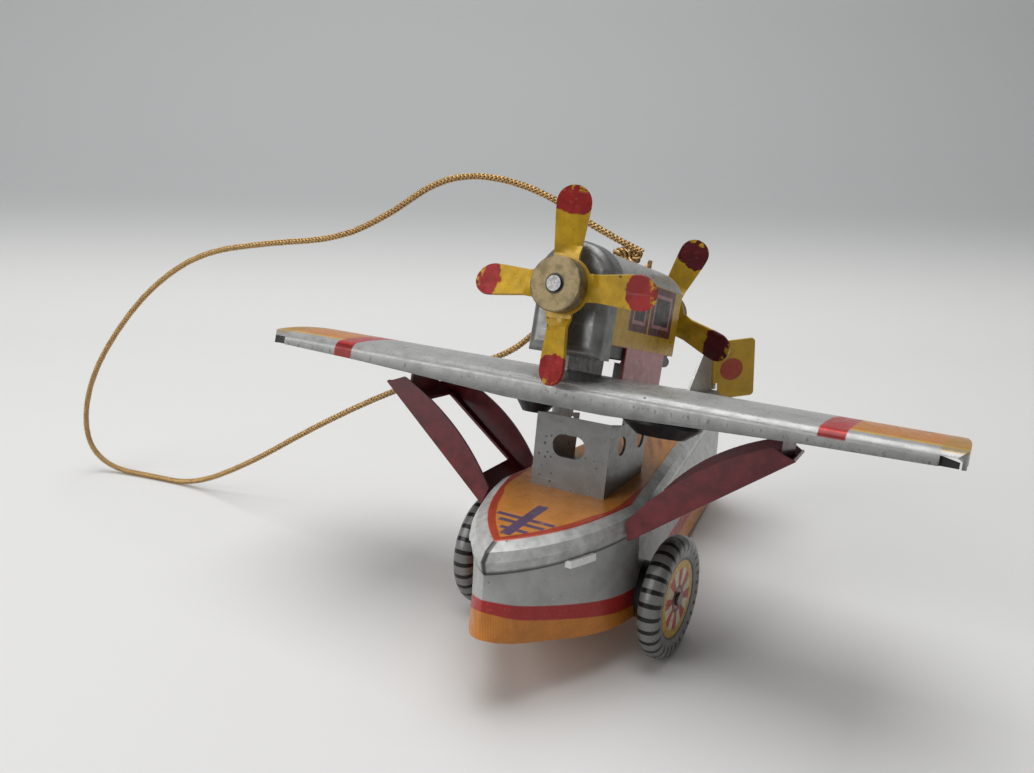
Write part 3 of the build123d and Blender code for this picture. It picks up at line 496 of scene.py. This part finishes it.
def propeller_print(name, pivot, turn, tip_start, red):
    """Yellow blades with chipped dark red tips, about the shaft."""
    weave = Weave(name)
    vector = weave.place(pivot, (NOSE_UP, 0, 0))
    x, _, z = weave.split(vector)
    along = weave.math("ADD", weave.math("MULTIPLY", x, sin(turn)), weave.math("MULTIPLY", z, cos(turn)))
    across = weave.math("SUBTRACT", weave.math("MULTIPLY", x, cos(turn)), weave.math("MULTIPLY", z, sin(turn)))
    a, b = weave.math("ABSOLUTE", along), weave.math("ABSOLUTE", across)
    reach, aside = weave.math("MAXIMUM", a, b), weave.math("MINIMUM", a, b)
    curve = weave.math("MULTIPLY", weave.math("MULTIPLY", aside, aside), TIP_CURVE)
    boundary = weave.math("ADD", tip_start, curve)
    wobble = weave.math("MULTIPLY", weave.math("SUBTRACT", weave.noise(vector, 0.22, 4.0), 0.5), 4.0)
    past = weave.math("SUBTRACT", reach, weave.math("ADD", boundary, wobble))
    yellow = weave.mix(weave.ramp(weave.noise(vector, 0.5, 3.0), 0.3, 0.7), toned(paint().yellow, 0.8),
                       toned(paint().yellow, 1.1))
    tip = weave.ramp(past, -0.1, 0.1)
    chips = weave.ramp(weave.noise(vector, 0.75, 4.0, 0.65), 0.50, 0.53)
    rim = weave.ramp(weave.radius(a, b), *CHIPPED_RIM)
    tip = weave.math("MULTIPLY", tip, weave.math("SUBTRACT", 1.0, weave.math("MULTIPLY", chips, rim)))
    patches = weave.ramp(weave.noise(vector, 0.45, 2.0), 0.35, 0.65)
    colour = weave.mix(tip, yellow, weave.mix(patches, toned(red, 0.7), red))
    return tin_surface(weave, vector, colour, 0.34, 0.15, 1.2)


def hub_brass(name, pivot):
    """Dull brass disc with scratches that run out from the shaft."""
    weave = Weave(name)
    vector = weave.place(pivot, (NOSE_UP, 0, 0))
    x, y, z = weave.split(vector)
    angle = weave.math("ARCTAN2", x, z)
    radius = weave.radius(x, z)
    polar = weave.join(weave.math("MULTIPLY", angle, 5.0), weave.math("MULTIPLY", radius, 0.35), y)
    streak = weave.noise(polar, 2.6, 4.0, 0.7)
    blotch = weave.noise(vector, 0.7, 3.0)
    colour = weave.mix(weave.ramp(streak, 0.35, 0.7), (0.22, 0.165, 0.085), (0.33, 0.26, 0.14))
    colour = weave.mix(weave.ramp(blotch, 0.42, 0.7, 0.0, 0.75), colour, (0.12, 0.095, 0.055))
    ring = weave.ramp(radius, 1.35, 1.6, 1.0, 0.0)
    colour = weave.mix(ring, colour, (0.05, 0.045, 0.04))
    weave.bump(streak, 0.3)
    return weave.finish(colour, weave.ramp(streak, 0.3, 0.8, 0.42, 0.6), 0.7)


# Radii where the rings of the wheel's print start or end.
HUB_LINE = (1.6, 2.2)
HUB_OUT = (2.1, 2.3)
YELLOW_RING = (4.75, 4.95)
DARK_RING = (5.95, 6.1)
TYRE = (6.35, 6.5)
TREAD = (7.1, 7.5)
TREAD_BARS, SPOKES = 28, 8


def wheel_print(side):
    """Grey tyre with black tread bars, yellow ring, dark red spokes and cream wedges."""
    weave = Weave(f"wheel_print_{'port' if side > 0 else 'starboard'}")
    vector = weave.place((side * AXLE.x, AXLE.y, AXLE.z))
    _, y, z = weave.split(vector)
    radius = weave.radius(y, z)
    angle = weave.math("ARCTAN2", y, z)
    silver = paint().silver
    bars = weave.waves(angle, TREAD_BARS)
    bar = weave.math("MULTIPLY", weave.ramp(bars, 0.35, 0.6), weave.ramp(radius, *TREAD))
    tyre = weave.mix(bar, toned(silver, 0.62), (0.012, 0.012, 0.012))
    spokes = weave.waves(angle, SPOKES)
    disc = weave.mix(weave.ramp(spokes, -0.15, 0.15), (0.62, 0.55, 0.36), toned(paint().red, 1.2))
    hub = weave.mix(weave.between(radius, *HUB_LINE, 0.1), (0.45, 0.20, 0.20), (0.12, 0.03, 0.03))
    disc = weave.mix(weave.ramp(radius, *HUB_OUT, 1.0, 0.0), disc, hub)
    disc = weave.mix(weave.ramp(radius, *YELLOW_RING), disc, paint().yellow)
    colour = weave.mix(weave.ramp(radius, *DARK_RING), disc, (0.05, 0.05, 0.05))
    colour = weave.mix(weave.ramp(radius, *TYRE), colour, tyre)
    return tin_surface(weave, vector, colour, 0.32, 0.3, 0.8)


def rudder_print():
    """Yellow rudder with a plain red disc on each side."""
    weave = Weave("rudder_print")
    vector = weave.place(RUDDER_HINGE)
    offset = weave.node("ShaderNodeVectorMath", {0: vector, 1: 1000 * (rudder_disc_centre() - RUDDER_HINGE)},
                        operation="DISTANCE").outputs["Value"]
    disc = weave.ramp(offset, 2.35, 2.6, 1.0, 0.0)
    colour = weave.mix(weave.math("MULTIPLY", disc, 0.9), toned(paint().yellow, 0.85),
                       toned(paint().red, 0.9))
    return tin_surface(weave, vector, colour, 0.38, 0.2, 0.8)


def rudder_disc_centre():
    """Middle of the rudder plate as it stands."""
    low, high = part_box("rudder")
    return (low + high) / 2


def enamel(name, colour, roughness):
    """Plain enamel with a slight orange-peel, rubbed towards brown in places."""
    weave = Weave(name)
    vector = weave.place()
    mottle = weave.noise(vector, 0.5, 4.0)
    base = weave.mix(weave.ramp(mottle, 0.3, 0.75), colour, toned(colour, 1.9))
    nicks = weave.ramp(weave.noise(vector, 2.2, 4.0, 0.7), 0.68, 0.73)
    base = weave.mix(weave.math("MULTIPLY", nicks, 0.5), base, (0.20, 0.18, 0.17))
    weave.bump(weave.noise(vector, 1.6, 3.0), 0.2)
    return weave.finish(base, weave.ramp(mottle, 0.3, 0.8, roughness, roughness + 0.14), 0.0, 0.1)


def steel_wire():
    weave = Weave("steel_wire")
    vector = weave.place()
    grain = weave.noise(vector, 2.0, 4.0, 0.7)
    colour = weave.mix(weave.ramp(grain, 0.35, 0.7), (0.12, 0.12, 0.12), (0.36, 0.36, 0.35))
    weave.bump(grain, 0.3)
    return weave.finish(colour, weave.ramp(grain, 0.3, 0.8, 0.28, 0.5), 0.9)


def gold_thread():
    """Metallic yarn, brighter on the crown of each strand."""
    weave = Weave("gold_thread")
    vector = weave.place()
    fibre = weave.noise(vector, 3.4, 4.0, 0.7)
    gold = bpy.context.scene.cord_settings.colour
    colour = weave.mix(weave.ramp(fibre, 0.32, 0.68), toned(gold, 0.45), toned(gold, 1.2))
    weave.bump(fibre, 0.6)
    return weave.finish(colour, weave.ramp(fibre, 0.3, 0.8, 0.30, 0.5), 0.75)


# ---- object helpers -------------------------------------------------------------
def dress(names, material):
    """Gives CAD nodes one material."""
    for name in names:
        slots = frame["nodes"][name].data.materials
        slots.clear()
        slots.append(material)


def deselect():
    if bpy.context.object and bpy.context.object.mode != "OBJECT":
        bpy.ops.object.mode_set(mode="OBJECT")
    bpy.ops.object.select_all(action="DESELECT")


def only(piece):
    deselect()
    piece.select_set(True)
    bpy.context.view_layer.objects.active = piece


def new_piece(name, vertices, faces):
    mesh = bpy.data.meshes.new(name)
    mesh.from_pydata(vertices, [], faces)
    mesh.update()
    piece = bpy.data.objects.new(name, mesh)
    bpy.context.scene.collection.objects.link(piece)
    only(piece)
    return piece


def face_outward(piece):
    only(piece)
    bpy.ops.object.mode_set(mode="EDIT")
    bpy.ops.mesh.select_all(action="SELECT")
    bpy.ops.mesh.normals_make_consistent(inside=False)
    bpy.ops.object.mode_set(mode="OBJECT")


def route_points():
    """Points along the smooth centre line, read from the curve itself."""
    route = bpy.data.curves.new("route", "CURVE")
    route.dimensions = "3D"
    route.resolution_u = 24
    spline = route.splines.new("NURBS")
    spline.points.add(len(CORD_ROUTE) - 1)
    for point, place in zip(spline.points, CORD_ROUTE):
        point.co = (*(MM * value for value in place), 1)
    spline.order_u = 3
    spline.use_endpoint_u = True
    holder = bpy.data.objects.new("route", route)
    bpy.context.scene.collection.objects.link(holder)
    line = bpy.data.meshes.new_from_object(holder)
    points = [vertex.co.copy() for vertex in line.vertices]
    bpy.data.objects.remove(holder)
    bpy.data.meshes.remove(line)
    return points


def even_points(points, step):
    """The same line with points at even distances."""
    spaced, carried = [points[0]], 0.0
    for start, end in zip(points, points[1:]):
        run = (end - start).length
        while run > 0 and carried + run >= step:
            start = start + (end - start) * ((step - carried) / run)
            run = (end - start).length
            carried = 0.0
            spaced.append(start)
        carried += run
    spaced.append(points[-1])
    return spaced


def frames_along(points):
    """Two steady normals at each point."""
    tangents = [(points[min(i + 1, len(points) - 1)] - points[max(i - 1, 0)]).normalized()
                for i in range(len(points))]
    normal = tangents[0].orthogonal().normalized()
    result = []
    for tangent in tangents:
        normal = (normal - tangent * normal.dot(tangent)).normalized()
        result.append((normal, tangent.cross(normal)))
    return result


def strand_mesh(points, frames, radius, thickness, pitch, phase, hand, sides=5):
    """Rings of one strand that winds round the centre line, going over and under."""
    middle, distance = [], 0.0
    for index, (point, (side, up)) in enumerate(zip(points, frames)):
        if index:
            distance += (point - points[index - 1]).length
        turn = hand * 2 * pi * distance / pitch + phase
        over = 1 + 0.18 * hand * cos(STRANDS * turn)
        middle.append(point + radius * over * (cos(turn) * side + sin(turn) * up))
    rings = []
    corners = [2 * pi * k / sides for k in range(sides)]
    for centre, (side, up) in zip(middle, frames_along(middle)):
        rings.append([centre + thickness * (cos(corner) * side + 0.8 * sin(corner) * up)
                      for corner in corners])
    return rings


def rings_to_piece(name, strands):
    vertices, faces = [], []
    for rings in strands:
        start = len(vertices)
        sides = len(rings[0])
        for ring in rings:
            vertices += ring
        for i in range(len(rings) - 1):
            for k in range(sides):
                a, b = start + i * sides + k, start + i * sides + (k + 1) % sides
                faces.append((a, b, b + sides, a + sides))
        faces.append(tuple(start + k for k in reversed(range(sides))))
        last = start + (len(rings) - 1) * sides
        faces.append(tuple(last + k for k in range(sides)))
    piece = new_piece(name, vertices, faces)
    bpy.ops.object.shade_smooth()
    face_outward(piece)
    return piece


# ---- operators ------------------------------------------------------------------
class TIN_OT_hull(bpy.types.Operator):
    """Print the hull, the deck and the tailplane and fin"""
    bl_idname = "tin.hull"
    bl_label = "Hull and tail"

    def execute(self, context):
        dress(["hull_shell"], hull_print())
        dress(["deck"], deck_print())
        dress(["fin", "tailplane"], silver_tin("tail_tin", 0.95))
        # The tabs get a much lighter copy of the grey: a painted highlight where they face up into the light.
        dress(["hull_tab_port", "hull_tab_starboard"], silver_tin("tab_tin_painted_highlight", 2.5))
        dress(["rudder"], rudder_print())
        return {"FINISHED"}


class TIN_OT_wing(bpy.types.Operator):
    """Print the wing and the pylon and enamel the struts"""
    bl_idname = "tin.wing"
    bl_label = "Wing and struts"

    def execute(self, context):
        dress(["wing"], wing_print())
        # The pylon gets a darker copy of the grey: painted shade on its sides under the wing.
        dress(["pylon"], silver_tin("pylon_tin_painted_shade", 0.72))
        dress(["strut_port", "strut_starboard"], enamel("strut_maroon", paint().maroon, 0.3))
        # Black blocks at the wing's ends: partly the inner hem, partly painted shade in the open ends.
        hem_and_shade = enamel("hem_and_shade_black", paint().black, 0.4)
        wing_end_hem_and_shade("wing_end_hem_and_shade_port", 1, hem_and_shade)
        wing_end_hem_and_shade("wing_end_hem_and_shade_starboard", -1, hem_and_shade)
        return {"FINISHED"}


HEM_AND_SHADE_Y = (0.55, 1.4)
HEM_AND_SHADE_FOOT = 40.45
HEM_AND_SHADE_ENDS = ((4.0, 41.9), (0.8, 41.2))      # distance inside the wing's tip, and head


def wing_end_hem_and_shade(name, side, black):
    """Black block at the open end of the wing's flange: partly the folded inner hem, partly painted shade in
    the hollow there.
    """
    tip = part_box("wing")[1].x / MM
    front, back = HEM_AND_SHADE_Y
    vertices = [from_upper(side * (tip - inset), y, z) for inset, head in HEM_AND_SHADE_ENDS
                for y, z in ((front, HEM_AND_SHADE_FOOT), (front, head), (back, head), (back, HEM_AND_SHADE_FOOT))]
    faces = [(0, 1, 2, 3), (7, 6, 5, 4), (0, 4, 5, 1), (1, 5, 6, 2), (2, 6, 7, 3), (3, 7, 4, 0)]
    piece = new_piece(name, vertices, faces)
    face_outward(piece)
    piece.data.materials.append(black)
    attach(piece, "airframe")


def from_upper(x, y, z):
    """A place in the upper frame, in millimetres, as a place in metres."""
    return SHAFT + Matrix.Rotation(-NOSE_UP, 3, "X") @ (MM * (Vector((x, y, z)) - SHAFT_IN_UPPER))


class TIN_OT_engine(bpy.types.Operator):
    """Print the engine housing and both propellers"""
    bl_idname = "tin.engine"
    bl_label = "Housing and propellers"

    def execute(self, context):
        dress(["nacelle_body"], nacelle_print())
        dress(["nacelle_front_cap", "nacelle_rear_cap"], cap_tin())
        dress(["front_propeller"],
              propeller_print("front_propeller_print", SHAFT, FRONT_TURN, FRONT_TIP, paint().red))
        dress(["rear_propeller"], propeller_print("rear_propeller_print", REAR_PIVOT, REAR_TURN, REAR_TIP,
                                                  toned(paint().maroon, 1.4)))
        dress(["front_hub"], hub_brass("front_hub_brass", SHAFT))
        dress(["rear_hub"], hub_brass("rear_hub_brass", REAR_PIVOT))
        dress(["propeller_shaft", "axle", "rudder_pin", "front_washer", "rear_washer",
               "wheel_port_bush", "wheel_starboard_bush"], steel_wire())
        dress(["bearing_frame", "wing_dish_port", "wing_dish_starboard", "axle_boss_port",
               "axle_boss_starboard"], enamel("black_enamel", paint().black, 0.3))
        return {"FINISHED"}


class TIN_OT_wheels(bpy.types.Operator):
    """Print the wheels"""
    bl_idname = "tin.wheels"
    bl_label = "Wheels"

    def execute(self, context):
        for name, side in (("port", 1), ("starboard", -1)):
            dress([f"wheel_{name}_outer", f"wheel_{name}_inner"], wheel_print(side))
        return {"FINISHED"}


class TIN_OT_cord(bpy.types.Operator):
    """Braid the hanging loop and tie its knot"""
    bl_idname = "tin.cord"
    bl_label = "Cord"

    def execute(self, context):
        settings = context.scene.cord_settings
        gold = gold_thread()
        line = route_points()
        step = settings.pitch / 13
        points = even_points(line, step)
        frames = frames_along(points)
        strand_radius = 0.33 * settings.diameter
        thickness = 0.16 * settings.diameter
        strands = [strand_mesh(points, frames, strand_radius, thickness, settings.pitch,
                               (k + (0.25 if hand < 0 else 0)) * 2 * pi / STRANDS, hand)
                   for hand in (1, -1) for k in range(STRANDS)]
        braid = rings_to_piece("hanging_cord", strands)
        braid.data.materials.append(gold)
        knot = tie_knot(settings, gold)
        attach(braid, "airframe")
        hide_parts("cord")
        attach(knot, "airframe")
        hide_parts("cord_knot")
        dress(["cord_stopper"], gold)
        return {"FINISHED"}


KNOT_INSET = 1.4 * MM                        # from the box's corners to the path's ends
KNOT_STRANDS = 3


def tie_knot(settings, gold):
    """An overhand knot pulled tight on the roof, with the two ends running in."""
    low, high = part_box("cord_knot")
    start = Vector((high.x - KNOT_INSET, high.y - KNOT_INSET, low.z + KNOT_INSET))
    end = Vector((low.x + KNOT_INSET, low.y + KNOT_INSET, high.z - KNOT_INSET))
    axis = (end - start).normalized()
    side = Vector((0, 0, 1)).cross(axis).normalized()
    up = axis.cross(side)
    middle = (start + end) / 2
    length, breadth, height = 0.74 * MM, 0.40 * MM, 0.62 * MM
    path = []
    for i in range(KNOT_STEPS + 1):
        turn = 2 * pi * i / KNOT_STEPS
        path.append(middle + length * (sin(turn) + 2 * sin(2 * turn)) * axis
                    + breadth * (cos(turn) - 2 * cos(2 * turn)) * side - height * sin(3 * turn) * up)
    frames = frames_along(path)
    strands = [strand_mesh(path, frames, 0.34 * settings.diameter, 0.24 * settings.diameter, settings.pitch,
                           2 * pi * k / KNOT_STRANDS, 1, 8) for k in range(KNOT_STRANDS)]
    knot = rings_to_piece("cord_knot_turns", strands)
    knot.data.materials.append(gold)
    return knot


class TIN_OT_stage(bpy.types.Operator):
    """Floor, backdrop, lights and camera"""
    bl_idname = "tin.stage"
    bl_label = "Stage"

    def execute(self, context):
        settings = context.scene.stage_settings
        build_floor()
        build_lights(settings)
        build_camera(settings)
        return {"FINISHED"}


def floor_paint():
    """Pale table, greyer where it turns up into the wall."""
    weave = Weave("pale_floor")
    height = weave.split(weave.place())[2]
    colour = weave.mix(weave.ramp(height, 1.0, 40.0), (0.72, 0.715, 0.70), (0.40, 0.41, 0.41))
    return weave.finish(colour, 0.7)


FACING = Vector((-0.502, 0.865, 0))          # level direction the camera looks in
ACROSS = Vector((0.865, 0.502, 0))
FLOOR_HALF_WIDTH = 2.2
FLOOR_LINE = [(-1.2, 0.0), (0.17, 0.0), (0.23, 0.012), (0.30, 0.05), (0.36, 0.12), (0.40, 0.24), (0.42, 1.6)]


def build_floor():
    """A pale table top whose far side sweeps up into a grey wall."""
    vertices = [FACING * run + ACROSS * side + Vector((0, 0, rise))
                for run, rise in FLOOR_LINE for side in (-FLOOR_HALF_WIDTH, FLOOR_HALF_WIDTH)]
    faces = [(2 * i, 2 * i + 1, 2 * i + 3, 2 * i + 2) for i in range(len(FLOOR_LINE) - 1)]
    floor = new_piece("stage_floor", vertices, faces)
    bpy.ops.object.shade_smooth()
    floor.data.materials.append(floor_paint())


def area_light(name, place, target, size, power):
    light = bpy.data.lights.new(name, "AREA")
    light.shape = "RECTANGLE"
    light.size, light.size_y = size
    light.energy = power
    holder = bpy.data.objects.new(name, light)
    holder.location = place
    holder.rotation_euler = (Vector(target) - Vector(place)).to_track_quat("-Z", "Y").to_euler()
    bpy.context.scene.collection.objects.link(holder)


def build_lights(settings):
    area_light("overhead", (-0.06, 0.02, 0.62), (0, 0.02, 0.02), (0.55, 0.5), settings.key_power * 1.25)
    area_light("front_window", (-0.34, -0.52, 0.34), (0, 0, 0.03), (0.45, 0.4), settings.key_power * 0.72)
    world = bpy.context.scene.world or bpy.data.worlds.new("room")
    bpy.context.scene.world = world
    world.use_nodes = True
    world.node_tree.nodes["Background"].inputs["Color"].default_value = (0.80, 0.82, 0.84, 1)
    world.node_tree.nodes["Background"].inputs["Strength"].default_value = 0.22
    bpy.context.scene.view_settings.view_transform = "Standard"


CAMERA_PLACE = (0.06368, -0.14856, 0.08300)
CAMERA_RIGHT = Vector((0.86152659, 0.50733275, 0.01963203))
CAMERA_UP = Vector((-0.16056941, 0.23558018, 0.95849854))


def build_camera(settings):
    """Seen from the port bow, a little from above."""
    camera = bpy.data.cameras.new("camera")
    camera.lens = settings.focal_length
    camera.sensor_width = 36
    holder = bpy.data.objects.new("camera", camera)
    rotation = Matrix((CAMERA_RIGHT, CAMERA_UP, CAMERA_RIGHT.cross(CAMERA_UP))).transposed()
    holder.matrix_world = Matrix.Translation(CAMERA_PLACE) @ rotation.to_4x4()
    bpy.context.scene.collection.objects.link(holder)
    bpy.context.scene.camera = holder


class TIN_PT_sidebar(bpy.types.Panel):
    """Lists the toy's finishes"""
    bl_idname = "TIN_PT_sidebar"
    bl_label = "Tin flying boat"
    bl_space_type = "VIEW_3D"
    bl_region_type = "UI"
    bl_category = "Tin Toy"

    def draw(self, context):
        layout = self.layout
        for name in ("silver", "orange", "yellow", "red", "maroon", "navy", "black", "wear"):
            layout.prop(context.scene.tin_paint, name)
        for name in ("diameter", "pitch", "colour"):
            layout.prop(context.scene.cord_settings, name)
        for name in ("focal_length", "key_power"):
            layout.prop(context.scene.stage_settings, name)
        for operator in OPERATORS:
            layout.operator(operator.bl_idname)


OPERATORS = [TIN_OT_hull, TIN_OT_wing, TIN_OT_engine, TIN_OT_wheels, TIN_OT_cord, TIN_OT_stage]
SETTINGS = {"tin_paint": TinPaint, "cord_settings": CordSettings, "stage_settings": StageSettings}


def register():
    for group in SETTINGS.values():
        bpy.utils.register_class(group)
    for name, group in SETTINGS.items():
        setattr(bpy.types.Scene, name, bpy.props.PointerProperty(type=group))
    for operator in OPERATORS:
        bpy.utils.register_class(operator)
    bpy.utils.register_class(TIN_PT_sidebar)


def unregister():
    bpy.utils.unregister_class(TIN_PT_sidebar)
    for operator in reversed(OPERATORS):
        bpy.utils.unregister_class(operator)
    for name in SETTINGS:
        delattr(bpy.types.Scene, name)
    for group in reversed(list(SETTINGS.values())):
        bpy.utils.unregister_class(group)


def main():
    register()
    bpy.ops.tin.hull()
    bpy.ops.tin.wing()
    bpy.ops.tin.engine()
    bpy.ops.tin.wheels()
    bpy.ops.tin.cord()
    bpy.ops.tin.stage()


if __name__ == "__main__":
    main()
